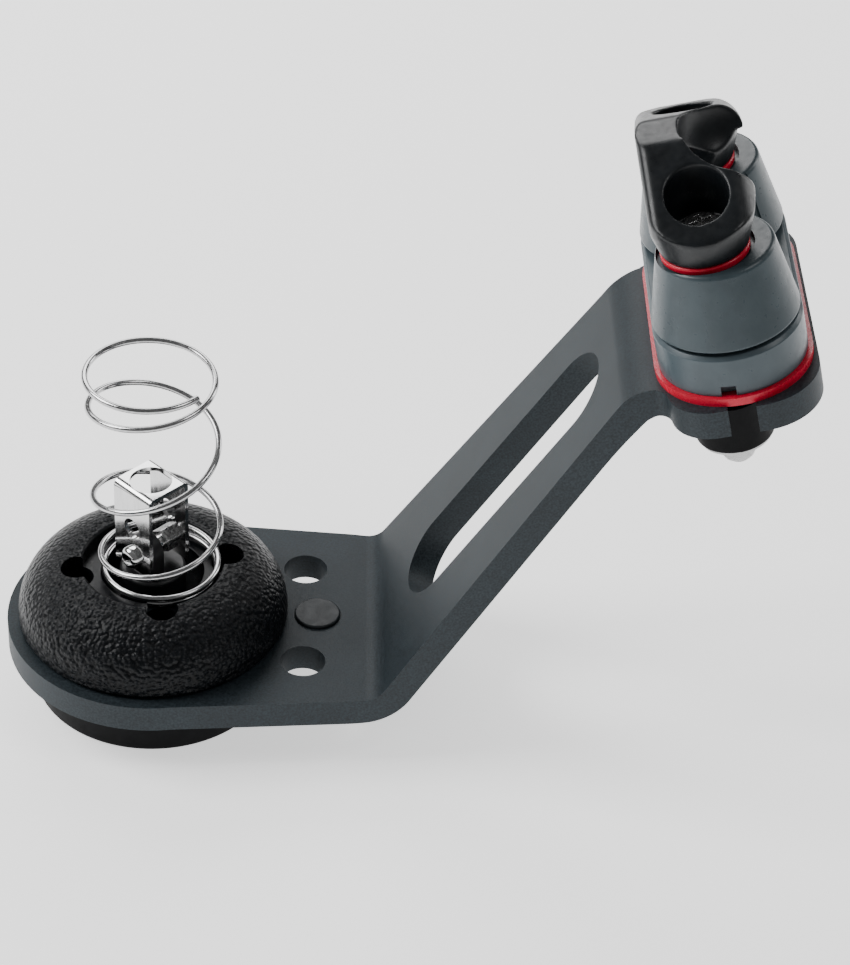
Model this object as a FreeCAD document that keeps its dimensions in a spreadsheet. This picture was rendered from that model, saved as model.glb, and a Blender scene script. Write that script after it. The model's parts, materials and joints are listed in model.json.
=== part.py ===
"""Swivel-base cam cleat: a round deck base, a cranked swivelling arm, and a cam cleat with a fairlead.

Frame: +Z up, origin on the base's swivel axis at deck level, +X towards the arm's raised end.
The cleat is designed in the pad frame: its origin is the corner where the slope's top face would meet
the pad's top face, its x runs up the pad, and its z stands square to the pad.
"""
import FreeCAD, Part
import math
import os

Vector = FreeCAD.Vector
Rotation = FreeCAD.Rotation
Placement = FreeCAD.Placement

Z_AXIS = Vector(0, 0, 1)
Y_AXIS = Vector(0, 1, 0)
X_AXIS = Vector(1, 0, 0)
TINY = 1e-6

DIMENSIONS = (
    # deck base
    ("disc_radius", 31.3, "lower disc"),
    ("disc_height", 12.2, "lower disc's flange"),
    ("hub_radius", 25.0, "hub that the arm's ring turns on"),
    ("running_gap", 0.05, "radial clearance of every running fit"),
    ("thrust_thickness", 0.75, "thrust washers above and below the arm"),
    ("cover_radius", 34.8, "domed cover"),
    ("cover_top", 37.5, "crown of the domed cover"),
    ("cover_round", 14.7, "cover's rounded shoulder"),
    ("well_radius", 18.0, "well that the spring stands in"),
    ("seat_height", 34.3, "ledge in the well that the spring stands on"),
    ("bore_radius", 13.0, "deeper bore inside the ledge"),
    ("well_floor", 26.5, "floor of the bore"),
    ("lobe_radius", 4.2, "screw pockets in the well's wall"),
    ("lobe_offset", 19.4, "screw pockets and deck screws from the axis"),
    ("lobe_turn", 10.0, "angle of the first pocket"),
    ("deck_hole_radius", 2.75, "deck screw clearance"),
    ("rib_screw_radius", 1.75, "cover screws"),
    # stand-up spring
    ("spring_wire", 1.6, "stand-up spring wire"),
    ("spring_top", 97.6, "top of the spring"),
    ("spring_radius", 15.9, "spring's mean radius"),
    # toggle
    ("swivel_radius", 8.5, "swivel head"),
    ("swivel_top", 36.5, "swivel head's shoulder"),
    ("stem_radius", 5.0, "swivel head's stem"),
    ("toggle_turn", 45.0, "angle of the toggle's cross pin"),
    ("toggle_width", 13.2, "toggle bracket, square in plan"),
    ("toggle_sheet", 1.1, "toggle bracket's sheet"),
    ("toggle_top", 63.5, "top of the toggle bracket"),
    ("toggle_foot", 38.8, "lower end of its legs"),
    ("cross_pin_height", 42.3, "cross pin's axis"),
    ("cross_pin_radius", 2.0, "cross pin"),
    ("shackle_height", 51.5, "holes for a block's own pin"),
    ("shackle_radius", 2.9, "holes for a block's own pin"),
    ("toggle_top_hole", 5.4, "hole in the bracket's top"),
    # arm
    ("plate_bottom", 13.0, "underside of the arm's ring"),
    ("plate_thickness", 7.5, "arm plate"),
    ("ring_radius", 37.8, "arm's ring"),
    ("bend_x", 58.2, "corner of the lower bend, on the top face"),
    ("slope_angle", 57.9, "slope from level"),
    ("slope_length", 108.9, "slope between its two corners, on the top face"),
    ("pad_angle", 13.5, "pad from level"),
    ("bend_radius", 6.0, "inside radius of both bends"),
    ("slot_start", 14.4, "slot's lower end, up the slope"),
    ("slot_end", 97.4, "slot's upper end, up the slope"),
    ("slot_half", 12.0, "half the slot's width"),
    ("lash_x", 39.2, "round holes in the flat"),
    ("lash_y", 18.5, "round holes from the centre line"),
    ("lash_radius", 5.75, "round holes"),
    ("plug_x", 42.6, "blanking plug"),
    ("plug_radius", 6.0, "blanking plug"),
    ("pad_half", 38.7, "half the pad across the arm"),
    ("pad_end", 44.1, "pad's outer edge"),
    ("pad_notch_x", 24.3, "open notches in the pad"),
    ("pad_notch_width", 6.7, "open notches in the pad"),
    # cleat, in the pad frame
    ("cam_x", 22.0, "cam pivots"),
    ("cam_y", 19.0, "cam pivots from the centre line: screws at 38 mm"),
    ("shell_x", 24.4, "middle of the base's outline"),
    ("shell_y", 18.5, "centres of the base's round ends"),
    ("gasket_radius", 18.9, "gasket's round ends"),
    ("gasket_thickness", 2.1, "gasket"),
    ("base_radius", 17.8, "base's round ends"),
    ("base_top", 13.0, "top of the base"),
    ("cam_bottom", 14.1, "underside of the cams"),
    ("cam_top", 33.0, "top of the cams"),
    ("cam_low_radius", 17.7, "cam's outside at the bottom"),
    ("cam_high_radius", 13.8, "cam's outside at the top"),
    ("cam_recess_radius", 11.6, "recess in the cam's top"),
    ("cam_web", 31.4, "floor of that recess"),
    ("cam_bore", 8.3, "cam's bore over the bearing balls"),
    ("post_radius", 5.0, "posts that the cams turn on"),
    ("ball_radius", 1.5, "bearing balls"),
    ("ball_circle", 6.65, "pitch radius of the balls"),
    ("ring_outer", 10.5, "retaining rings"),
    ("ring_bottom", 31.9, "retaining rings"),
    ("ring_thickness", 1.8, "retaining rings"),
    ("boss_radius", 10.35, "fairlead's bosses where they stand on the rings"),
    ("crest", 54.0, "top of the fairlead's bridge"),
    ("roof_fall", 25.4, "slope of its roof, either side of the crest"),
    ("eye_radius", 8.6, "fairlead's eye"),
    ("eye_height", 38.0, "axis of the eye"),
    ("scoop_radius", 14.8, "round mouth that the eye opens into"),
    ("scoop_x", 34.8, "centre of the mouth"),
    ("scoop_height", 50.5, "centre of the mouth"),
    ("recess_radius", 7.3, "screw recesses in the fairlead"),
    ("recess_floor", 37.2, "floor of the screw recesses"),
    ("cleat_screw_radius", 2.5, "cleat screws, M5"),
    ("screw_head_radius", 4.7, "pan heads"),
    ("screw_head_height", 2.9, "pan heads"),
    ("spacer_radius", 9.6, "spacers below the pad"),
    ("spacer_length", 13.2, "spacers below the pad"),
    ("bush_radius", 5.4, "spacers' necks, through the pad"),
    ("washer_radius", 8.9, "washers"),
    ("washer_thickness", 1.0, "washers"),
    ("nut_across", 9.2, "lock nuts across flats"),
    ("nut_height", 5.8, "lock nuts"),
)

# The spring's course: degrees turned, share of its rise, how much narrower and how far aside it runs.
SPRING_STATIONS = (
    (-460, 0.0, 1.5, 2.1),
    (-370, 0.004, 1.5, 2.1),
    (-280, 0.010, 1.5, 2.1),
    (-190, 0.018, 1.5, 2.1),
    (-100, 0.028, 1.3, 2.1),
    (0, 0.034, 1.2, 2.1),
    (90, 0.050, 1.0, 2.1),
    (180, 0.090, 0.8, 2.0),
    (270, 0.152, 0.6, 1.9),
    (360, 0.226, 0.3, 1.8),
    (450, 0.302, 0.1, 1.6),
    (540, 0.390, -0.1, 1.4),
    (630, 0.508, -0.1, 1.2),
    (720, 0.646, -0.1, 1.1),
    (810, 0.756, 0.0, 0.9),
    (900, 0.841, 0.0, 0.8),
    (990, 0.910, 0.0, 0.6),
    (1080, 0.954, 0.0, 0.5),
    (1170, 0.976, 0.0, 0.4),
    (1260, 0.989, 0.0, 0.3),
    (1350, 0.998, 0.0, 0.3),
    (1410, 1.0, 0.0, 0.3),
)

doc = FreeCAD.newDocument("swivel_cam_cleat")
sheet = doc.addObject("Spreadsheet::Sheet", "dim")
for row, (alias, value, meaning) in enumerate(DIMENSIONS, start=1):
    sheet.set("A%d" % row, meaning)
    sheet.set("B%d" % row, str(value))
    sheet.setAlias("B%d" % row, alias)
doc.recompute()

nodes = {}


def size(alias):
    """A driving dimension's value from the sheet."""
    return float(getattr(sheet, alias))


# ---------------------------------------------------------------- features


def feature(kind, name, expressions, placement=None):
    """A document object whose properties are bound to expressions over the sheet."""
    made = doc.addObject(kind, name)
    if placement is not None:
        made.Placement = placement
    for prop, expression in expressions.items():
        made.setExpression(prop, expression)
    return made


def at(x=0.0, y=0.0, z=0.0, rotation=None):
    return Placement(Vector(x, y, z), rotation or Rotation())


def cylinder(name, radius, height, placement=None, angle="360"):
    sizes = {"Radius": radius, "Height": height, "Angle": angle}
    return feature("Part::Cylinder", name, sizes, placement)


def cone(name, low, high, height, placement=None):
    sizes = {"Radius1": low, "Radius2": high, "Height": height}
    return feature("Part::Cone", name, sizes, placement)


def box(name, length, width, height, placement=None):
    sizes = {"Length": length, "Width": width, "Height": height}
    return feature("Part::Box", name, sizes, placement)


def hexagon(name, circumradius, height, placement=None):
    sizes = {"Circumradius": circumradius, "Height": height}
    prism = feature("Part::Prism", name, sizes, placement)
    prism.Polygon = 6
    return prism


def fuse(name, *parts):
    joined = doc.addObject("Part::MultiFuse", name)
    joined.Shapes = list(parts)
    joined.Refine = True
    return joined


def cut(name, base, *tools):
    taken = doc.addObject("Part::Cut", name)
    taken.Base = base
    taken.Tool = tools[0] if len(tools) == 1 else fuse(name + "_tools", *tools)
    taken.Refine = True
    return taken


def common(name, *parts):
    shared = doc.addObject("Part::MultiCommon", name)
    shared.Shapes = list(parts)
    shared.Refine = True
    return shared


def group(name, *parts):
    """Separate solids under one name."""
    together = doc.addObject("Part::Compound", name)
    together.Links = list(parts)
    return together


def rounded_edges(points):
    """Lines and tangent arcs round a closed outline of (x, y, corner radius) points."""
    corners = []
    count = len(points)
    for index, (x, y, radius) in enumerate(points):
        here = Vector(x, y, 0)
        before = Vector(*points[index - 1][:2], 0) - here
        after = Vector(*points[(index + 1) % count][:2], 0) - here
        before.normalize()
        after.normalize()
        if radius == 0:
            corners.append((here, None, here))
            continue
        half = before.getAngle(after) / 2
        reach = radius / math.tan(half)
        middle = before + after
        middle.normalize()
        nearest = here + middle * (radius / math.sin(half) - radius)
        corners.append((here + before * reach, nearest, here + after * reach))
    edges = []
    for index, (start, nearest, end) in enumerate(corners):
        if nearest is not None:
            edges.append(Part.Arc(start, nearest, end))
        following = corners[(index + 1) % count][0]
        if (following - end).Length > TINY:
            edges.append(Part.LineSegment(end, following))
    return edges


def outline(name, points, placement=None):
    """A sketch of a closed outline with rounded corners."""
    sketch = doc.addObject("Sketcher::SketchObject", name)
    if placement is not None:
        sketch.Placement = placement
    sketch.addGeometry(rounded_edges(points), False)
    return sketch


def extrude(name, sketch, length):
    solid = doc.addObject("Part::Extrusion", name)
    solid.Base = sketch
    solid.DirMode = "Normal"
    solid.Solid = True
    solid.setExpression("LengthFwd", length)
    return solid


UPRIGHT = Rotation(X_AXIS, 90)
ACROSS = Rotation(Z_AXIS, 90) * UPRIGHT


def revolve(name, points):
    """A ring turned about Z from an outline of (radius, height, corner radius) points."""
    sketch = outline(name + "_profile", points, Placement(Vector(), UPRIGHT))
    solid = doc.addObject("Part::Revolution", name)
    solid.Source = sketch
    solid.Axis = Z_AXIS
    solid.Angle = 360
    solid.Solid = True
    return solid


def keep(node, made, placement=None):
    """Names a finished sub-part, and puts it in its place."""
    made.Label = node
    if placement is not None:
        made.Placement = placement
    nodes[node] = made
    return made


def ring_of(count, radius, first=0.0):
    """Points spaced evenly round a circle, as (x, y, angle in degrees)."""
    spots = []
    for index in range(count):
        angle = first + 360.0 * index / count
        turn = math.radians(angle)
        spots.append((radius * math.cos(turn), radius * math.sin(turn), angle))
    return spots


# ---------------------------------------------------------------- places

PLATE_TOP = size("plate_bottom") + size("plate_thickness")
COVER_BOTTOM = PLATE_TOP + size("running_gap") + size("thrust_thickness")
slope_turn = math.radians(size("slope_angle"))
PAD_ORIGIN = Vector(
    size("bend_x") + size("slope_length") * math.cos(slope_turn),
    0,
    PLATE_TOP + size("slope_length") * math.sin(slope_turn),
)
PAD = Placement(PAD_ORIGIN, Rotation(Y_AXIS, -size("pad_angle")))
SLOPE = Placement(Vector(size("bend_x"), 0, PLATE_TOP), Rotation(Y_AXIS, -size("slope_angle")))
TOGGLE = Placement(Vector(), Rotation(Z_AXIS, size("toggle_turn")))
SIDES = (-1, 1)


# ---------------------------------------------------------------- deck base


def base_disc():
    """Lower disc with the hub that the arm turns on."""
    hub_recess = 10.0
    recess_top = 4.7
    core = size("stem_radius") + size("running_gap")
    body = revolve("base_disc_blank", (
        (core, recess_top, 0),
        (hub_recess, recess_top, 0),
        (hub_recess, 0, 0),
        (size("disc_radius"), 0, 1.2),
        (size("disc_radius"), size("disc_height"), 1.0),
        (size("hub_radius"), size("disc_height"), 0),
        (size("hub_radius"), COVER_BOTTOM, 0),
        (core, COVER_BOTTOM, 0),
    ))
    tools = []
    for x, y, _ in ring_of(4, size("lobe_offset"), size("lobe_turn")):
        tools.append(cylinder("deck_hole", "dim.deck_hole_radius", "60", at(x, y, -1)))
    for x, y, _ in ring_of(4, size("lobe_offset"), size("lobe_turn") + 45):
        tools.append(cylinder("rib_hole", "dim.rib_screw_radius", "60", at(x, y, -1)))
        tools.append(cylinder("rib_sink", "dim.rib_screw_radius * 2", "5", at(x, y, -1)))
    keep("base_disc", cut("base_disc", body, *tools))


def thrust_washers():
    """Plastic washers that the arm slides on, one below its ring and one above."""
    inner = size("hub_radius") + 0.1
    for node, outer, low in (
        ("lower_thrust_washer", size("disc_radius") - 0.8, size("disc_height")),
        ("upper_thrust_washer", size("cover_radius") - 1.4, COVER_BOTTOM - size("thrust_thickness")),
    ):
        high = low + size("thrust_thickness")
        keep(node, revolve(node, ((inner, low, 0), (outer, low, 0), (outer, high, 0), (inner, high, 0))))


def top_cover():
    """Domed cover with the well for the spring and four pockets for the deck screws."""
    core = size("stem_radius") + size("running_gap")
    well = size("well_radius")
    body = revolve("cover_blank", (
        (core, COVER_BOTTOM, 0),
        (size("cover_radius"), COVER_BOTTOM, 0.6),
        (size("cover_radius"), size("cover_top"), size("cover_round")),
        (well, size("cover_top"), 0.9),
        (well, size("seat_height"), 0),
        (size("bore_radius"), size("seat_height"), 0.5),
        (size("bore_radius"), size("well_floor"), 0),
        (core, size("well_floor"), 0),
    ))
    tools = []
    for x, y, _ in ring_of(4, size("lobe_offset"), size("lobe_turn")):
        pocket = at(x, y, size("well_floor"))
        tools.append(cylinder("lobe", "dim.lobe_radius", "20", pocket))
        tools.append(cylinder("deck_hole", "dim.deck_hole_radius", "60", at(x, y, 0)))
    for x, y, _ in ring_of(4, size("lobe_offset"), size("lobe_turn") + 45):
        tools.append(cylinder("rib_hole", "dim.rib_screw_radius", "12", at(x, y, COVER_BOTTOM - 1)))
    keep("top_cover", cut("top_cover", body, *tools))


def cover_screws():
    """Four self-tapping screws that join the disc and the cover from below."""
    head_low = 1.4
    head_high = 4.0
    screws = []
    for x, y, _ in ring_of(4, size("lobe_offset"), size("lobe_turn") + 45):
        head = cylinder("rib_head", "dim.rib_screw_radius * 1.9", "%g" % (head_high - head_low),
                        at(x, y, head_low))
        shank = cylinder("rib_shank", "dim.rib_screw_radius", "26", at(x, y, head_high))
        screws.append(fuse("cover_screw", head, shank))
    keep("cover_screws", group("cover_screws", *screws))


def wire_along(name, points, radius):
    """Round wire along a smooth curve through the points."""
    curve = Part.BSplineCurve()
    curve.interpolate(points)
    path = doc.addObject("Part::Feature", name + "_path")
    path.Shape = Part.Wire(curve.toShape())
    section = feature("Part::Circle", name + "_section", {"Radius": radius})
    ahead = curve.tangent(curve.FirstParameter)[0]
    section.Placement = Placement(points[0], Rotation(Z_AXIS, ahead))
    wire = doc.addObject("Part::Sweep", name)
    wire.Sections = [section]
    wire.Spine = (path, ["Edge1"])
    wire.Solid = True
    wire.Frenet = False
    return wire


def stand_up_spring():
    """Open coil spring, close-wound towards its ends, that stands in the well and holds a block upright."""
    low = size("seat_height") + size("spring_wire") / 2 + 0.05
    rise = size("spring_top") - size("spring_wire") / 2 - low
    radius = size("spring_radius")
    turned = []
    stations = []
    for angle, share, narrower, aside in SPRING_STATIONS:
        turned.append(angle)
        stations.append(Vector(aside, radius - narrower, low + share * rise))
    course = Part.BSplineCurve()
    course.interpolate(Points=stations, Parameters=turned)
    points = []
    for angle in range(turned[0], turned[-1] + 1, 15):
        aside, reach, height = course.value(angle)
        turn = math.radians(angle)
        points.append(Vector(aside + reach * math.cos(turn), reach * math.sin(turn), height))
    keep("stand_up_spring", wire_along("stand_up_spring", points, "dim.spring_wire / 2"))


# ---------------------------------------------------------------- toggle


def along_x(x, y, z):
    """A place whose local z lies along +x."""
    return at(x, y, z, Rotation(Y_AXIS, 90))


def swivel_head():
    """Black head that turns on its stem in the base and carries the toggle's cross pin."""
    low = size("well_floor") + 0.2
    stem_low = 4.6
    screw = size("cleat_screw_radius")
    turned = revolve("swivel_turned", (
        (0, stem_low, 0),
        (size("stem_radius"), stem_low, 0.4),
        (size("stem_radius"), low, 0),
        (size("swivel_radius"), low, 0.6),
        (size("swivel_radius"), size("swivel_top"), 1.0),
        (0, size("swivel_top"), 0),
    ))
    thick = 4.8
    left = -5.0
    width = 10.0
    pin = size("cross_pin_height")
    neck = box("tongue_neck", "%g" % thick, "%g" % width, "dim.cross_pin_height - dim.swivel_top + 1",
               at(left, -width / 2, size("swivel_top") - 1))
    eye = cylinder("tongue_eye", "%g" % (width / 2), "%g" % thick, along_x(left, 0, pin))
    solid = fuse("swivel_solid", turned, neck, eye)
    bore = cylinder("tongue_bore", "dim.cross_pin_radius + dim.running_gap", "20", along_x(-10, 0, pin))
    tapped = cylinder("stem_bore", "%g" % screw, "14", at(0, 0, stem_low - 2))
    keep("swivel_head", cut("swivel_head", solid, bore, tapped), TOGGLE)


def swivel_fasteners():
    """Washer and screw that hold the stem up from below."""
    stem_low = 4.6
    washer_low = 3.5
    head_low = 0.9
    screw = size("cleat_screw_radius")
    outer = size("swivel_radius")
    keep("swivel_washer", revolve("swivel_washer", (
        (screw, washer_low, 0), (outer, washer_low, 0), (outer, stem_low, 0), (screw, stem_low, 0),
    )))
    head = cylinder("swivel_screw_head", "dim.screw_head_radius", "%g" % (washer_low - head_low),
                    at(0, 0, head_low))
    shank = cylinder("swivel_screw_shank", "dim.cleat_screw_radius", "13", at(0, 0, washer_low))
    socket = hexagon("swivel_screw_socket", "2.3", "1.6", at(0, 0, head_low))
    keep("swivel_screw", cut("swivel_screw", fuse("swivel_screw_solid", head, shank), socket))


def toggle_bracket():
    """Sheet bracket, an upside-down U, that a block pins to."""
    side = size("toggle_width")
    sheet_thickness = size("toggle_sheet")
    foot = size("toggle_foot")
    top = size("toggle_top")
    bend = 1.8
    profile = (
        (-side / 2, foot, 0),
        (-side / 2, top, bend),
        (side / 2, top, bend),
        (side / 2, foot, 0),
        (side / 2 - sheet_thickness, foot, 0),
        (side / 2 - sheet_thickness, top - sheet_thickness, bend - sheet_thickness),
        (-side / 2 + sheet_thickness, top - sheet_thickness, bend - sheet_thickness),
        (-side / 2 + sheet_thickness, foot, 0),
    )
    sketch = outline("bracket_profile", profile, at(0, side / 2, 0, UPRIGHT))
    channel = extrude("bracket_channel", sketch, "dim.toggle_width")
    tools = [
        cylinder("bracket_pin_hole", "dim.cross_pin_radius", "40", along_x(-20, 0, size("cross_pin_height"))),
        cylinder("bracket_shackle_hole", "dim.shackle_radius", "40", along_x(-20, 0, size("shackle_height"))),
        cylinder("bracket_top_hole", "dim.toggle_top_hole", "10", at(0, 0, top - 5)),
    ]
    keep("toggle_bracket", cut("toggle_bracket", channel, *tools), TOGGLE)


def toggle_pin():
    """Cross pin with a domed head outside one leg, and its nut inside the other leg."""
    half = size("toggle_width") / 2
    pin = size("cross_pin_height")
    head_radius = 3.1
    head_height = 2.0
    end_height = 1.1
    dome = revolve("pin_dome", (
        (0, 0, 0), (head_radius, 0, 0), (head_radius, head_height, 1.6), (0, head_height, 0),
    ))
    dome.Placement = at(-half, 0, pin, Rotation(Y_AXIS, -90))
    shank = cylinder("pin_shank", "dim.cross_pin_radius", "dim.toggle_width", along_x(-half, 0, pin))
    end = cylinder("pin_end", "2.7", "%g" % end_height, along_x(half, 0, pin))
    keep("toggle_pin", fuse("toggle_pin", dome, shank, end), TOGGLE)

    nut_high = half - size("toggle_sheet")
    nut_low = nut_high - 2.8
    hexed = hexagon("pin_nut_blank", "3.4", "%g" % (nut_high - nut_low), along_x(nut_low, 0, pin))
    bore = cylinder("pin_nut_bore", "dim.cross_pin_radius", "10", along_x(nut_low - 2, 0, pin))
    keep("toggle_nut", cut("toggle_nut", hexed, bore), TOGGLE)


# ---------------------------------------------------------------- arm


def bend_sector(name, centre, start, sweep, width):
    """A quarter-like bend between two flats of the arm's plate, across the whole width."""
    spin = Rotation(X_AXIS, 90)
    place = Placement(centre + Vector(0, width / 2, 0), spin * Rotation(Z_AXIS, start))
    outer = cylinder(name + "_outer", "dim.bend_radius + dim.plate_thickness", "%g" % width, place,
                     "%g" % sweep)
    inner = cylinder(name + "_inner", "dim.bend_radius", "%g" % width, place)
    return cut(name, outer, inner)


def arm_strip():
    """The plate bent to its cranked side view, wider than the finished arm."""
    width = 100.0
    thick = size("plate_thickness")
    radius = size("bend_radius")
    half = -width / 2
    low_reach = radius * math.tan(slope_turn / 2)
    turn = size("slope_angle") - size("pad_angle")
    high_reach = (radius + thick) * math.tan(math.radians(turn) / 2)
    flat = box("strip_flat", "dim.ring_radius + %g" % (size("bend_x") - low_reach + 5), "%g" % width,
               "dim.plate_thickness", at(-size("ring_radius") - 5, half, size("plate_bottom")))
    low_centre = Vector(size("bend_x") - low_reach, 0, PLATE_TOP + radius)
    low = bend_sector("strip_low_bend", low_centre, -90, size("slope_angle"), width)
    slope_place = SLOPE * at(low_reach, half, -thick)
    slope = box("strip_slope", "dim.slope_length - %g" % (low_reach + high_reach), "%g" % width,
                "dim.plate_thickness", slope_place)
    high_centre = (SLOPE * at(size("slope_length") - high_reach, 0, -thick - radius)).Base
    high = bend_sector("strip_high_bend", high_centre, 90 + size("pad_angle"), turn, width)
    pad = box("strip_pad", "dim.pad_end + 10", "%g" % width, "dim.plate_thickness",
              PAD * at(high_reach, half, -thick))
    return fuse("arm_strip", flat, low, slope, high, pad)


def mirrored(points):
    """An outline's upper half with its mirror image across the x axis."""
    lower = [(x, -y, radius) for x, y, radius in reversed(points)]
    return tuple(points) + tuple(lower)


def arm_plate():
    """Cranked arm: ring, slotted slope and the pad for the cleat."""
    slope_run = size("slope_length") * math.cos(slope_turn)
    top_x = size("bend_x") + slope_run
    wide = 60.0
    neck = 26.0
    plan = outline("arm_plan", mirrored((
        (0, 37.75, 0),
        (size("bend_x") - 6, 33.7, 60),
        (top_x - 2, 24.6, 20),
        (top_x + 5, neck, 0),
        (top_x + 5, wide, 0),
        (top_x + wide, wide, 0),
    )), at(0, 0, -10))
    disc = cylinder("arm_ring", "dim.ring_radius", "200", at(0, 0, -10))
    envelope = fuse("arm_envelope", extrude("arm_plan_solid", plan, "200"), disc)
    pad_plan = outline("pad_plan", mirrored((
        (-200, wide, 0),
        (-10, wide, 0),
        (-10, neck, 0),
        (7.2, neck, 4.0),
        (9.0, size("pad_half"), 10.5),
        (size("pad_end"), size("pad_half"), 14.5),
    )), PAD * at(0, 0, -150))
    pad_envelope = extrude("pad_plan_solid", pad_plan, "200")
    solid = common("arm_solid", arm_strip(), envelope, pad_envelope)

    slot = outline("slot_plan", (
        (size("slot_start"), size("slot_half"), size("slot_half") - 0.01),
        (size("slot_end"), size("slot_half"), size("slot_half") - 0.01),
        (size("slot_end"), -size("slot_half"), size("slot_half") - 0.01),
        (size("slot_start"), -size("slot_half"), size("slot_half") - 0.01),
    ), SLOPE * at(0, 0, -20))
    tools = [
        extrude("slot_solid", slot, "40"),
        cylinder("ring_bore", "dim.hub_radius + dim.running_gap", "40"),
        cylinder("plug_hole", "dim.plug_radius", "40", at(size("plug_x"), 0, 0)),
    ]
    for side in SIDES:
        place = at(size("lash_x"), side * size("lash_y"), 0)
        tools.append(cylinder("lash_hole", "dim.lash_radius", "40", place))
        tools.append(cylinder("bush_hole", "dim.bush_radius", "40",
                              PAD * at(size("cam_x"), side * size("cam_y"), -20)))
        near = min(side * size("cam_y"), side * wide)
        tools.append(box("pad_notch", "dim.pad_notch_width", "%g" % (wide - size("cam_y")), "40",
                         PAD * at(size("pad_notch_x") - size("pad_notch_width") / 2, near, -20)))
    keep("arm_plate", cut("arm_plate", solid, *tools))


def arm_plug():
    """Blanking plug pressed into the flat, slightly proud of it."""
    low = size("plate_bottom")
    high = PLATE_TOP + 0.8
    plug = revolve("arm_plug", (
        (0, low, 0), (size("plug_radius"), low, 0), (size("plug_radius"), high, 0.6), (0, high, 0),
    ))
    keep("arm_plug", plug, at(size("plug_x"), 0, 0))


# ---------------------------------------------------------------- cleat


def stadium(name, radius, low, height):
    """A slab with two round ends, about the middle of the cleat's outline."""
    half = size("shell_y") + radius
    corner = radius - 0.01
    sketch = outline(name + "_plan", (
        (size("shell_x") - radius, -half, corner),
        (size("shell_x") + radius, -half, corner),
        (size("shell_x") + radius, half, corner),
        (size("shell_x") - radius, half, corner),
    ), at(0, 0, low))
    return extrude(name, sketch, height)


def gasket():
    """Red pad between the arm and the cleat."""
    slab = stadium("gasket_slab", size("gasket_radius"), 0, "dim.gasket_thickness")
    holes = []
    for side in SIDES:
        place = at(size("cam_x"), side * size("cam_y"), -2)
        holes.append(cylinder("gasket_hole", "dim.bush_radius", "10", place))
    keep("gasket", cut("gasket", slab, *holes), PAD)


def cleat_base():
    """Base of the cleat with the two hollow posts that the cams turn on."""
    low = size("gasket_thickness")
    slab = stadium("base_slab", size("base_radius"), low, "dim.base_top - dim.gasket_thickness")
    rounded = doc.addObject("Part::Chamfer", "base_slab_chamfer")
    rounded.Base = slab
    posts = []
    tools = []
    notch_width = 3.4
    notch_height = 2.7
    for side in SIDES:
        y = side * size("cam_y")
        posts.append(cylinder("post", "dim.post_radius", "dim.ring_bottom - %g" % low,
                              at(size("cam_x"), y, low)))
        tools.append(cylinder("post_bore", "dim.cleat_screw_radius + 0.15", "60", at(size("cam_x"), y, -5)))
        spring_pocket = cylinder("pocket_outer", "8.2", "6", at(size("cam_x"), y, size("base_top") - 4))
        pocket_core = cylinder("pocket_core", "dim.post_radius", "8",
                               at(size("cam_x"), y, size("base_top") - 5))
        tools.append(cut("spring_pocket", spring_pocket, pocket_core))
        reach = size("shell_y") + size("base_radius")
        tools.append(box("base_notch", "%g" % notch_width, "4", "%g" % (notch_height + 1),
                         at(size("cam_x") - notch_width / 2, side * reach - 2, low - 1)))
    doc.recompute()
    top = size("base_top")
    rim = []
    for index, edge in enumerate(slab.Shape.Edges, start=1):
        if edge.BoundBox.ZMin > top - TINY:
            rim.append((index, 0.9, 0.9))
    rounded.Edges = rim
    solid = fuse("base_solid", rounded, *posts)
    keep("cleat_base", cut("cleat_base", solid, *tools), PAD)


def cam_springs():
    """Torsion springs that close the cams, one round each post."""
    wire = 0.9
    pitch = 1.05
    turned = 1155
    radius = size("ball_circle")
    low = size("base_top") - 4 + wire / 2 + 0.05
    coils = []
    for side in SIDES:
        centre = Vector(size("cam_x"), side * size("cam_y"), low)
        points = []
        for angle in range(0, turned + 1, 15):
            turn = math.radians(angle)
            round_post = Vector(radius * math.cos(turn), radius * math.sin(turn), pitch * angle / 360)
            points.append(centre + round_post)
        coils.append(wire_along("cam_spring", points, "%g" % (wire / 2)))
    keep("cam_springs", group("cam_springs", *coils), PAD)


def cam_bearings():
    """Two rows of balls between each post and its cam."""
    balls = []
    for side in SIDES:
        for height in (18.5, 27.5):
            for x, y, _ in ring_of(12, size("ball_circle")):
                place = at(size("cam_x") + x, side * size("cam_y") + y, height)
                balls.append(feature("Part::Sphere", "ball", {"Radius": "dim.ball_radius"}, place))
    keep("cam_bearings", group("cam_bearings", *balls), PAD)


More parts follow.
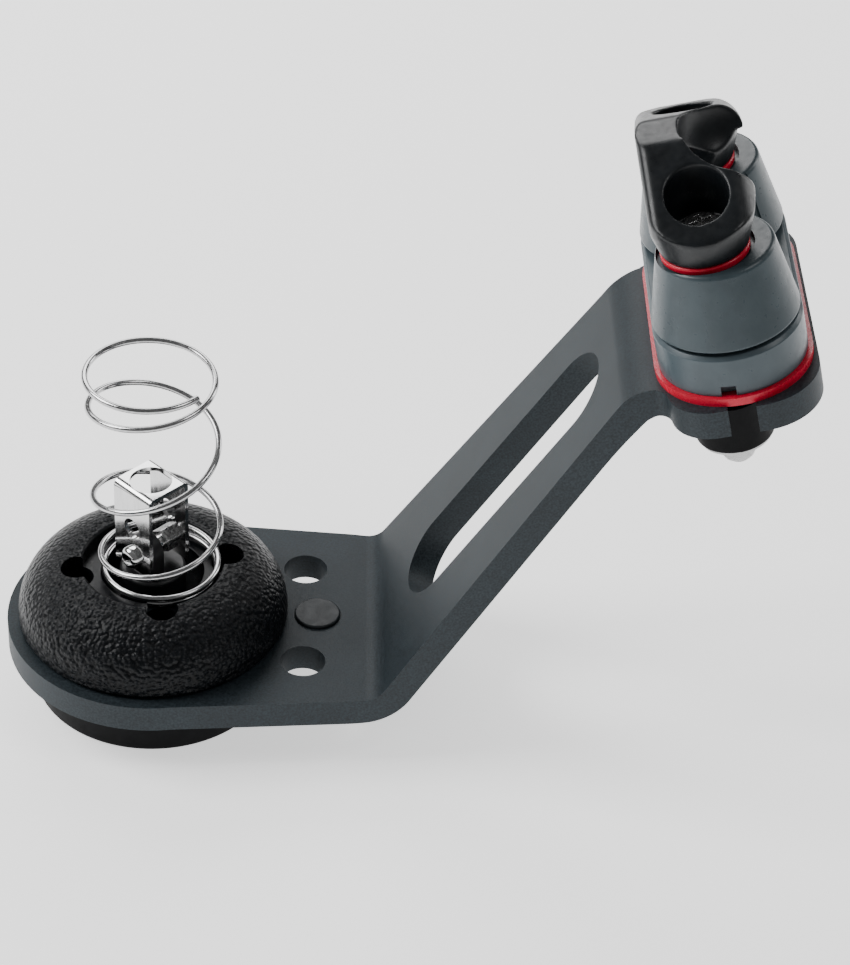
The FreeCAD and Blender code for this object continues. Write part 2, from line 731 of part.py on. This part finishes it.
def cam(node, side):
    """Tapered cam set off its pivot, with grip teeth on the side that faces the line."""
    centre_x = size("shell_x") - 0.1
    centre_y = side * size("shell_y")
    height = size("cam_top") - size("cam_bottom")
    lean = math.degrees(math.atan2(size("cam_low_radius") - size("cam_high_radius"), height))
    barrel = revolve(node + "_barrel", (
        (0, size("cam_bottom"), 0),
        (size("cam_low_radius"), size("cam_bottom"), 0.7),
        (size("cam_high_radius"), size("cam_top"), 1.3),
        (0, size("cam_top"), 0),
    ))
    barrel.Placement = at(centre_x, centre_y, 0)
    pivot = (size("cam_x"), side * size("cam_y"))
    tools = [
        cylinder(node + "_bore", "dim.cam_bore", "dim.cam_web - dim.cam_bottom - 1.4",
                 at(*pivot, size("cam_bottom"))),
        cylinder(node + "_eye", "dim.post_radius + dim.running_gap", "40", at(*pivot, 0)),
        cylinder(node + "_recess", "dim.cam_recess_radius", "10", at(*pivot, size("cam_web"))),
    ]
    tooth_radius = 0.85
    teeth = 9
    for index in range(teeth):
        facing = -side * 90 + (index - (teeth - 1) / 2) * 11
        turn = Rotation(Z_AXIS, facing) * Rotation(Y_AXIS, -lean)
        foot = Vector(centre_x, centre_y, size("cam_bottom"))
        foot += Rotation(Z_AXIS, facing).multVec(Vector(size("cam_low_radius") + 0.1, 0, 0))
        foot -= turn.multVec(Vector(0, 0, 2))
        tools.append(cylinder(node + "_flute", "%g" % tooth_radius, "30", Placement(foot, turn)))
    keep(node, cut(node, barrel, *tools), PAD)


def retaining_rings():
    """Red rings on top of the posts that keep the cams down."""
    low = size("ring_bottom")
    high = low + size("ring_thickness")
    rings = []
    for side in SIDES:
        ring = revolve("retaining_ring", (
            (size("cleat_screw_radius") + 0.15, low, 0),
            (size("ring_outer"), low, 0.5),
            (size("ring_outer"), high, 0.5),
            (size("cleat_screw_radius") + 0.15, high, 0),
        ))
        ring.Placement = at(size("cam_x"), side * size("cam_y"), 0)
        rings.append(ring)
    keep("retaining_rings", group("retaining_rings", *rings), PAD)


def fairlead():
    """Bridge over the cams: two screw bosses, an arch over the line and a flared mouth."""
    low = size("ring_bottom") + size("ring_thickness")
    crest = size("crest")
    left = 10.1
    right = 35.5
    reach = 31.6
    flat = 5.5
    fall = math.radians(size("roof_fall"))
    shoulder = crest - (reach - flat) * math.tan(fall)
    side_view = outline("fairlead_side", (
        (-reach, low, 0),
        (-reach, shoulder, 3.0),
        (-flat, crest, 6.0),
        (flat, crest, 6.0),
        (reach, shoulder, 3.0),
        (reach, low, 0),
    ), at(left - 5, 0, 0, ACROSS))
    slab = extrude("fairlead_slab", side_view, "%g" % (right - left + 10))
    plan = outline("fairlead_plan", (
        (left, -reach, 11.0), (right, -reach, 12.0), (right, reach, 12.0), (left, reach, 11.0),
    ), at(0, 0, low - 1))
    shell = extrude("fairlead_shell", plan, "40")
    ridge = crest + flat * math.tan(fall)
    roofs = []
    for side in SIDES:
        tilt = Rotation(X_AXIS, 90 - side * size("roof_fall"))
        start = Vector(0, 0, ridge) - tilt.multVec(Vector(0, 0, 60))
        across = outline("roof_profile", (
            (left, -50, 0), (right, -50, 0), (right, 0, 6.5), (left, 0, 2.5),
        ), Placement(start, tilt))
        half = box("roof_half", "60", "50", "100", at(0, min(0, side * 50), 0))
        roofs.append(common("roof", extrude("roof_run", across, "120"), half))
    block = common("fairlead_block", slab, shell, fuse("fairlead_roof", *roofs))

    tools = []
    for side in SIDES:
        y = side * size("cam_y")
        skirt_blank = box("skirt_blank", "60", "34", "12", at(-8, y - 17, low - 3))
        skirt_core = cone("skirt_core", "dim.boss_radius - 0.9", "dim.boss_radius + 2.6", "12",
                          at(size("cam_x"), y, low - 3))
        tools.append(cut("skirt_cut", skirt_blank, skirt_core))
        tools.append(cylinder("screw_recess", "dim.recess_radius", "40",
                              at(size("cam_x"), y, size("recess_floor"))))
        tools.append(cylinder("screw_way", "dim.cleat_screw_radius + 0.15", "60", at(size("cam_x"), y, 0)))
    eye = size("eye_radius")
    arch = outline("eye_arch", (
        (-eye, low - 9, 0),
        (-eye, size("eye_height") + eye, eye - 0.01),
        (eye, size("eye_height") + eye, eye - 0.01),
        (eye, low - 9, 0),
    ), at(0, 0, 0, ACROSS))
    tools.append(extrude("eye", arch, "60"))
    scoop_place = at(size("scoop_x"), 0, size("scoop_height"))
    tools.append(feature("Part::Sphere", "scoop", {"Radius": "dim.scoop_radius"}, scoop_place))
    keep("fairlead", cut("fairlead", block, *tools), PAD)


def cleat_screws():
    """Long pan-head screws that clamp the whole cleat to the pad."""
    head_low = size("recess_floor")
    spacer_low = -size("plate_thickness") - size("spacer_length")
    tip = spacer_low - size("washer_thickness") - size("nut_height") - 1.3
    screws = []
    for side in SIDES:
        y = side * size("cam_y")
        head = revolve("cleat_screw_head", (
            (0, head_low, 0),
            (size("screw_head_radius"), head_low, 0),
            (size("screw_head_radius"), head_low + size("screw_head_height"), 1.4),
            (0, head_low + size("screw_head_height"), 0),
        ))
        head.Placement = at(size("cam_x"), y, 0)
        shank = cylinder("cleat_screw_shank", "dim.cleat_screw_radius", "%g" % (head_low - tip),
                         at(size("cam_x"), y, tip))
        arms = []
        for quarter in (0, 90):
            turn = Rotation(Z_AXIS, quarter + 20)
            place = Placement(Vector(size("cam_x"), y, head_low + 1.1), turn) * at(-2.6, -0.55, 0)
            arms.append(box("cross_slot", "5.2", "1.1", "4", place))
        screws.append(cut("cleat_screw", fuse("cleat_screw_solid", head, shank), *arms))
    keep("cleat_screws", group("cleat_screws", *screws), PAD)


def pad_spacers():
    """Black spacers below the pad, with necks that fill the pad's holes."""
    high = -size("plate_thickness")
    low = high - size("spacer_length")
    inner = size("cleat_screw_radius") + 0.1
    neck = size("bush_radius") - 0.1
    spacers = []
    for side in SIDES:
        spacer = revolve("pad_spacer", (
            (inner, low, 0),
            (size("spacer_radius"), low, 0.6),
            (size("spacer_radius"), high, 0.3),
            (neck, high, 0),
            (neck, size("gasket_thickness"), 0),
            (inner, size("gasket_thickness"), 0),
        ))
        spacer.Placement = at(size("cam_x"), side * size("cam_y"), 0)
        spacers.append(spacer)
    keep("pad_spacers", group("pad_spacers", *spacers), PAD)


def cleat_nuts():
    """Washers and nylon-insert lock nuts on the cleat screws."""
    high = -size("plate_thickness") - size("spacer_length")
    low = high - size("washer_thickness")
    inner = size("cleat_screw_radius")
    outer = size("washer_radius")
    washers = []
    nuts = []
    for side in SIDES:
        place = at(size("cam_x"), side * size("cam_y"), 0)
        washer = revolve("cleat_washer", (
            (inner, low, 0), (outer, low, 0.3), (outer, high, 0.3), (inner, high, 0),
        ))
        washer.Placement = place
        washers.append(washer)
        hex_height = size("nut_height") - 1.6
        hexed = hexagon("nut_hex", "dim.nut_across / sqrt(3)", "%g" % hex_height,
                        place * at(0, 0, low - hex_height))
        collar = cone("nut_collar", "dim.nut_across / 2 - 0.8", "dim.nut_across / 2 - 0.1", "1.6",
                      place * at(0, 0, low - hex_height - 1.6))
        bore = cylinder("nut_bore", "dim.cleat_screw_radius", "20", place * at(0, 0, low - 15))
        nuts.append(cut("lock_nut", fuse("nut_solid", hexed, collar), bore))
    keep("cleat_washers", group("cleat_washers", *washers), PAD)
    keep("lock_nuts", group("lock_nuts", *nuts), PAD)


# ---------------------------------------------------------------- model


def build():
    base_disc()
    thrust_washers()
    top_cover()
    cover_screws()
    stand_up_spring()
    swivel_head()
    swivel_fasteners()
    toggle_bracket()
    toggle_pin()
    arm_plate()
    arm_plug()
    gasket()
    cleat_base()
    cam_springs()
    cam_bearings()
    cam("near_cam", -1)
    cam("far_cam", 1)
    retaining_rings()
    fairlead()
    cleat_screws()
    pad_spacers()
    cleat_nuts()
    doc.recompute()


def check():
    """Stops if any object failed or any sub-part isn't a valid solid."""
    for made in doc.Objects:
        if "Invalid" in made.State or "Error" in made.State:
            raise RuntimeError("%s failed: %s" % (made.Label, made.State))
    for node, made in nodes.items():
        shape = made.Shape
        if shape.isNull() or not shape.isValid() or not shape.Solids:
            raise RuntimeError("%s has no valid solid" % node)


def write():
    os.makedirs("parts", exist_ok=True)
    for node, made in nodes.items():
        made.Shape.exportStep("parts/%s.step" % node)
        bounds = made.Shape.optimalBoundingBox()
        print("%-22s solids %2d volume %9.1f x %.1f..%.1f y %.1f..%.1f z %.1f..%.1f" % (
            node, len(made.Shape.Solids), made.Shape.Volume,
            bounds.XMin, bounds.XMax, bounds.YMin, bounds.YMax, bounds.ZMin, bounds.ZMax))


build()
check()
write()
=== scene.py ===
import json
import math

import bmesh
import bpy
from mathutils import Matrix, Vector


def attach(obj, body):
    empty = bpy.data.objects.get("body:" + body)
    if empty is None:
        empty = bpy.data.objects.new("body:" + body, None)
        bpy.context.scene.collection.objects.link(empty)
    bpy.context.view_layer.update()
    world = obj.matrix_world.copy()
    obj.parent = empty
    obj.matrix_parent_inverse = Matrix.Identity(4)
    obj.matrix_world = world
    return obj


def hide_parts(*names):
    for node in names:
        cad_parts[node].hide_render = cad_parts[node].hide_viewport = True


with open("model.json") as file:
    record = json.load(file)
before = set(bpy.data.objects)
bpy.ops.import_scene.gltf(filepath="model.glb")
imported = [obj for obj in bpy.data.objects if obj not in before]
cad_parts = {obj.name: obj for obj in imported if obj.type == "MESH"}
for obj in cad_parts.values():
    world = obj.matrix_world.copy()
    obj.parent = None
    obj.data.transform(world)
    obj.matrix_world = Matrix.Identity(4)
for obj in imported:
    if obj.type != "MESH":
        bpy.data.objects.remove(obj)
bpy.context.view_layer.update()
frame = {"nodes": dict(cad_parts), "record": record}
MM = 0.001
WELL_EDGE_MM = 18.6


# ---------------------------------------------------------------- materials


class Surface:
    """A principled material with object-space noise for its colour, gloss and relief."""

    def __init__(self, name, metallic=0.0):
        self.material = bpy.data.materials.new(name)
        self.material.use_nodes = True
        self.tree = self.material.node_tree
        self.shader = self.tree.nodes["Principled BSDF"]
        self.shader.inputs["Metallic"].default_value = metallic
        coordinates = self.tree.nodes.new("ShaderNodeTexCoord")
        self.place = coordinates.outputs["Object"]
        self.relief = None

    def add(self, kind, **settings):
        node = self.tree.nodes.new(kind)
        for key, value in settings.items():
            setattr(node, key, value)
        return node

    def link(self, source, target):
        self.tree.links.new(source, target)

    def stretched(self, scale):
        """Coordinates scaled differently along each axis, for a brushed grain."""
        mapping = self.add("ShaderNodeMapping")
        mapping.inputs["Scale"].default_value = scale
        self.link(self.place, mapping.inputs["Vector"])
        return mapping.outputs["Vector"]

    def noise(self, size_mm, detail=3.0, stretch=None):
        """Noise with features of about this size."""
        node = self.add("ShaderNodeTexNoise")
        node.inputs["Scale"].default_value = 1000.0 / size_mm
        node.inputs["Detail"].default_value = detail
        self.link(self.stretched(stretch) if stretch else self.place, node.inputs["Vector"])
        return node.outputs["Fac"]

    def cells(self, size_mm):
        node = self.add("ShaderNodeTexVoronoi", feature="SMOOTH_F1")
        node.inputs["Scale"].default_value = 1000.0 / size_mm
        node.inputs["Smoothness"].default_value = 0.6
        self.link(self.place, node.inputs["Vector"])
        return node.outputs["Distance"]

    def ramp(self, source, low, high, start=0.35, end=0.65):
        """Turns a noise into a colour between two others."""
        node = self.add("ShaderNodeValToRGB")
        first, last = node.color_ramp.elements
        first.position, last.position = start, end
        first.color = (*low, 1.0)
        last.color = (*high, 1.0)
        self.link(source, node.inputs["Fac"])
        return node.outputs["Color"]

    def blend(self, first, second, share):
        node = self.add("ShaderNodeMix", data_type="RGBA", blend_type="MULTIPLY")
        node.inputs["Factor"].default_value = share
        self.link(first, node.inputs["A"])
        self.link(second, node.inputs["B"])
        return node.outputs["Result"]

    def colour(self, source):
        self.link(source, self.shader.inputs["Base Color"])

    def gloss(self, source, low, high, start=0.3, end=0.7):
        """Roughness that varies with a noise."""
        node = self.add("ShaderNodeMapRange")
        node.inputs["From Min"].default_value = start
        node.inputs["From Max"].default_value = end
        node.inputs["To Min"].default_value = low
        node.inputs["To Max"].default_value = high
        self.link(source, node.inputs["Value"])
        self.link(node.outputs["Result"], self.shader.inputs["Roughness"])

    def bump(self, source, height_mm, strength=1.0):
        node = self.add("ShaderNodeBump")
        if isinstance(strength, float):
            node.inputs["Strength"].default_value = strength
        else:
            self.link(strength, node.inputs["Strength"])
        node.inputs["Distance"].default_value = height_mm * MM
        self.link(source, node.inputs["Height"])
        if self.relief is not None:
            self.link(self.relief, node.inputs["Normal"])
        self.relief = node.outputs["Normal"]
        self.link(self.relief, self.shader.inputs["Normal"])


def anodised(name, low, high):
    """Hard-anodised cast aluminium: dull, with a fine speckle."""
    made = Surface(name, metallic=0.12)
    made.shader.inputs["Specular IOR Level"].default_value = 0.28
    speck = made.noise(0.55, 5.0)
    broad = made.noise(14.0, 2.0)
    tone = made.ramp(speck, low, high, 0.32, 0.68)
    shade = made.ramp(broad, (0.86, 0.86, 0.86), (1.0, 1.0, 1.0))
    made.colour(made.blend(tone, shade, 1.0))
    made.gloss(speck, 0.44, 0.6)
    made.bump(made.noise(0.45, 4.0), 0.035, 0.6)
    return made.material


def moulded(name, low, high, rough, relief_mm=0.012, grain_mm=0.5, shine=0.35):
    """Moulded plastic with a faint orange peel."""
    made = Surface(name)
    made.shader.inputs["Specular IOR Level"].default_value = shine
    broad = made.noise(6.0, 3.0)
    made.colour(made.ramp(broad, low, high))
    made.gloss(made.noise(1.6, 4.0), rough - 0.05, rough + 0.07)
    made.bump(made.noise(grain_mm, 3.0), relief_mm, 0.5)
    return made.material


def leathered(name, low, high, smooth_mm):
    """Plastic with a leather grain, but smooth in the well round the vertical axis."""
    made = Surface(name)
    level = made.add("ShaderNodeVectorMath", operation="MULTIPLY")
    level.inputs[1].default_value = (1.0, 1.0, 0.0)
    made.link(made.place, level.inputs[0])
    reach = made.add("ShaderNodeVectorMath", operation="LENGTH")
    made.link(level.outputs["Vector"], reach.inputs[0])
    outside = made.add("ShaderNodeMapRange")
    outside.inputs["From Min"].default_value = (smooth_mm - 0.5) * MM
    outside.inputs["From Max"].default_value = (smooth_mm + 1.0) * MM
    made.link(reach.outputs["Value"], outside.inputs["Value"])
    made.shader.inputs["Specular IOR Level"].default_value = 0.16
    pebbles = made.cells(1.15)
    made.colour(made.ramp(pebbles, high, low, 0.2, 0.75))
    made.gloss(made.noise(0.7, 3.0), 0.26, 0.4)
    made.bump(pebbles, -0.6, outside.outputs["Result"])
    made.bump(made.noise(1.1, 5.0), 0.25, outside.outputs["Result"])
    return made.material


def steel(name, colour, rough, brushed=None):
    """Bright stainless steel, with faint draw marks."""
    made = Surface(name, metallic=1.0)
    marks = made.noise(0.8, 4.0, brushed)
    dark = tuple(part * 0.86 for part in colour)
    made.colour(made.ramp(marks, dark, colour))
    made.gloss(marks, rough * 0.8, rough * 1.5)
    made.bump(marks, 0.006, 0.3)
    return made.material


MATERIALS = {
    "anodised_arm": anodised(
        "anodised_arm", (0.009, 0.014, 0.0175), (0.031, 0.043, 0.051)),
    "black_plastic": moulded(
        "black_plastic", (0.002, 0.0022, 0.0026), (0.004, 0.0043, 0.005),
        rough=0.45, relief_mm=0.02, shine=0.08),
    "washer_plastic": moulded(
        "washer_plastic", (0.01, 0.01, 0.011), (0.016, 0.016, 0.017), rough=0.5),
    "grained_cover": leathered(
        "grained_cover", (0.002, 0.0024, 0.003), (0.006, 0.0072, 0.009), WELL_EDGE_MM),
    "swivel_plastic": moulded(
        "swivel_plastic", (0.006, 0.006, 0.007), (0.011, 0.011, 0.012), rough=0.36),
    "plug_plastic": moulded(
        "plug_plastic", (0.01, 0.013, 0.0155), (0.018, 0.023, 0.0265),
        rough=0.42, relief_mm=0.02, shine=0.25),
    "fairlead_plastic": moulded(
        "fairlead_plastic", (0.005, 0.0062, 0.0075), (0.009, 0.011, 0.013),
        rough=0.32, relief_mm=0.02, shine=0.34),
    "cleat_body": moulded(
        "cleat_body", (0.058, 0.08, 0.092), (0.07, 0.095, 0.108),
        rough=0.32, relief_mm=0.008, grain_mm=0.9),
    "cam_composite": moulded(
        "cam_composite", (0.04, 0.058, 0.067), (0.05, 0.071, 0.081),
        rough=0.31, relief_mm=0.008, grain_mm=0.9),
    "red_plastic": moulded(
        "red_plastic", (0.54, 0.006, 0.028), (0.64, 0.01, 0.04), rough=0.26, relief_mm=0.01),
    "stainless": steel("stainless", (0.44, 0.44, 0.44), 0.24),
    "polished_stainless": steel(
        "polished_stainless", (0.68, 0.68, 0.68), 0.11, brushed=(1.0, 1.0, 0.15)),
    "spring_wire": steel("spring_wire", (0.5, 0.5, 0.505), 0.16),
    "bearing_balls": steel("bearing_balls", (0.6, 0.6, 0.6), 0.12),
}
SLOTS = {part["node"]: part["material_slot"] for part in frame["record"]["subparts"]}
GROUPS = frame["record"]["behaviour"]["bodies"]
BODIES = {node: body for body, nodes in GROUPS.items() for node in nodes}


def paint(thing, slot):
    """Gives a piece its slot's material in place of any other."""
    thing.data.materials.clear()
    thing.data.materials.append(MATERIALS[slot])


# ---------------------------------------------------------------- pieces


def stand_for(node, name):
    """A new piece with a CAD node's shape, which then stands for that node."""
    source = frame["nodes"][node]
    piece = bpy.data.objects.new(name, source.data.copy())
    bpy.context.scene.collection.objects.link(piece)
    paint(piece, SLOTS[node])
    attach(piece, BODIES[node])
    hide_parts(node)
    return piece


def joined(piece):
    """Welds a piece's triangles into clean flat faces."""
    mesh = bmesh.new()
    mesh.from_mesh(piece.data)
    bmesh.ops.remove_doubles(mesh, verts=mesh.verts, dist=0.002 * MM)
    bmesh.ops.dissolve_limit(mesh, angle_limit=math.radians(0.6), verts=mesh.verts, edges=mesh.edges)
    mesh.to_mesh(piece.data)
    mesh.free()
    piece.data.polygons.foreach_set("use_smooth", [True] * len(piece.data.polygons))


def settle(piece):
    """Applies a piece's modifiers."""
    graph = bpy.context.evaluated_depsgraph_get()
    done = bpy.data.meshes.new_from_object(piece.evaluated_get(graph), depsgraph=graph)
    piece.modifiers.clear()
    piece.data = done


def softened(node, name, width_mm, segments=3, corner=32):
    """A CAD node's shape with its hard edges eased."""
    piece = stand_for(node, name)
    joined(piece)
    bevel = piece.modifiers.new("eased", "BEVEL")
    bevel.width = width_mm * MM
    bevel.segments = segments
    bevel.limit_method = "ANGLE"
    bevel.angle_limit = math.radians(corner)
    flats = piece.modifiers.new("flats", "WEIGHTED_NORMAL")
    flats.weight = 100
    settle(piece)
    return piece


def melted(node, name, voxel_mm, rounds):
    """A CAD node's shape as a moulding, with every edge rounded over."""
    piece = stand_for(node, name)
    remesh = piece.modifiers.new("even", "REMESH")
    remesh.mode = "VOXEL"
    remesh.voxel_size = voxel_mm * MM
    remesh.use_smooth_shade = True
    smooth = piece.modifiers.new("rounded", "SMOOTH")
    smooth.factor = 0.5
    smooth.iterations = rounds
    settle(piece)
    return piece


softened("arm_plate", "cranked_arm", 0.55)
softened("arm_plug", "blanking_plug", 0.3)
softened("base_disc", "lower_disc", 0.4)
softened("cleat_base", "cleat_housing", 0.3)
softened("swivel_head", "swivel_block", 0.4)
softened("toggle_nut", "cross_nut", 0.35)
softened("pad_spacers", "pad_bushes", 0.3)
softened("lock_nuts", "nylon_nuts", 0.35)
softened("cleat_screws", "pan_screws", 0.15, 2)
melted("fairlead", "fairlead_bridge", 0.35, 20)

for node, thing in frame["nodes"].items():
    paint(thing, SLOTS[node])


# ---------------------------------------------------------------- studio


def plain(name, colour, rough, glow):
    """A flat, slightly glowing material for the floor."""
    made = bpy.data.materials.new(name)
    made.use_nodes = True
    shader = made.node_tree.nodes["Principled BSDF"]
    shader.inputs["Base Color"].default_value = (*colour, 1.0)
    shader.inputs["Roughness"].default_value = rough
    shader.inputs["Emission Color"].default_value = (*colour, 1.0)
    shader.inputs["Emission Strength"].default_value = glow
    return made


def add_floor():
    """A wide pale sheet under the object."""
    half = 6.0
    mesh = bpy.data.meshes.new("floor")
    corners = [(-half, -half, 0), (half, -half, 0), (half, half, 0), (-half, half, 0)]
    mesh.from_pydata(corners, [], [(0, 1, 2, 3)])
    floor = bpy.data.objects.new("floor", mesh)
    floor.location.z = -0.05 * MM
    mesh.materials.append(plain("paper", (0.95, 0.95, 0.95), 0.9, 1.0))
    bpy.context.scene.collection.objects.link(floor)


def add_light(name, place, aim, width, height, watts):
    lamp = bpy.data.lights.new(name, "AREA")
    lamp.shape = "RECTANGLE"
    lamp.size = width
    lamp.size_y = height
    lamp.energy = watts
    light = bpy.data.objects.new(name, lamp)
    light.location = place
    light.rotation_mode = "QUATERNION"
    light.rotation_quaternion = (Vector(aim) - Vector(place)).to_track_quat("-Z", "Y")
    bpy.context.scene.collection.objects.link(light)


def add_world(strength):
    world = bpy.data.worlds.new("studio")
    world.use_nodes = True
    background = world.node_tree.nodes["Background"]
    background.inputs["Color"].default_value = (1.0, 1.0, 1.0, 1.0)
    background.inputs["Strength"].default_value = strength
    bpy.context.scene.world = world


def add_camera():
    """A long lens from above and a little to the left, rolled slightly."""
    azimuth, elevation, roll = map(math.radians, (-2.464, 37.642, 2.834))
    distance = 739.66 * MM
    back = Vector((
        math.sin(azimuth) * math.cos(elevation),
        -math.cos(azimuth) * math.cos(elevation),
        math.sin(elevation),
    ))
    level = (-back).cross(Vector((0, 0, 1))).normalized()
    above = level.cross(-back)
    right = math.cos(roll) * level + math.sin(roll) * above
    up = math.cos(roll) * above - math.sin(roll) * level
    target = Vector((68.95, 0.0, 64.8)) * MM
    lens = bpy.data.cameras.new("camera")
    lens.lens = 109.5
    lens.sensor_width = 36.0
    lens.clip_start = 0.02
    lens.clip_end = 50.0
    camera = bpy.data.objects.new("camera", lens)
    turn = Matrix((right, up, back)).transposed().to_4x4()
    camera.matrix_world = Matrix.Translation(target + back * distance) @ turn
    bpy.context.scene.collection.objects.link(camera)
    bpy.context.scene.camera = camera


add_floor()
add_world(0.16)
middle = (0.07, 0.0, 0.06)
add_light("key", (-0.8, 0.1, 0.8), middle, 0.6, 0.6, 12.0)
add_light("back", (-0.15, 1.0, 0.75), middle, 1.1, 0.45, 8.0)
add_light("fill", (0.7, -0.2, 1.1), middle, 0.4, 0.4, 2.5)
add_light("edge", (0.9, 0.55, 0.45), middle, 0.25, 0.7, 2.5)
add_camera()
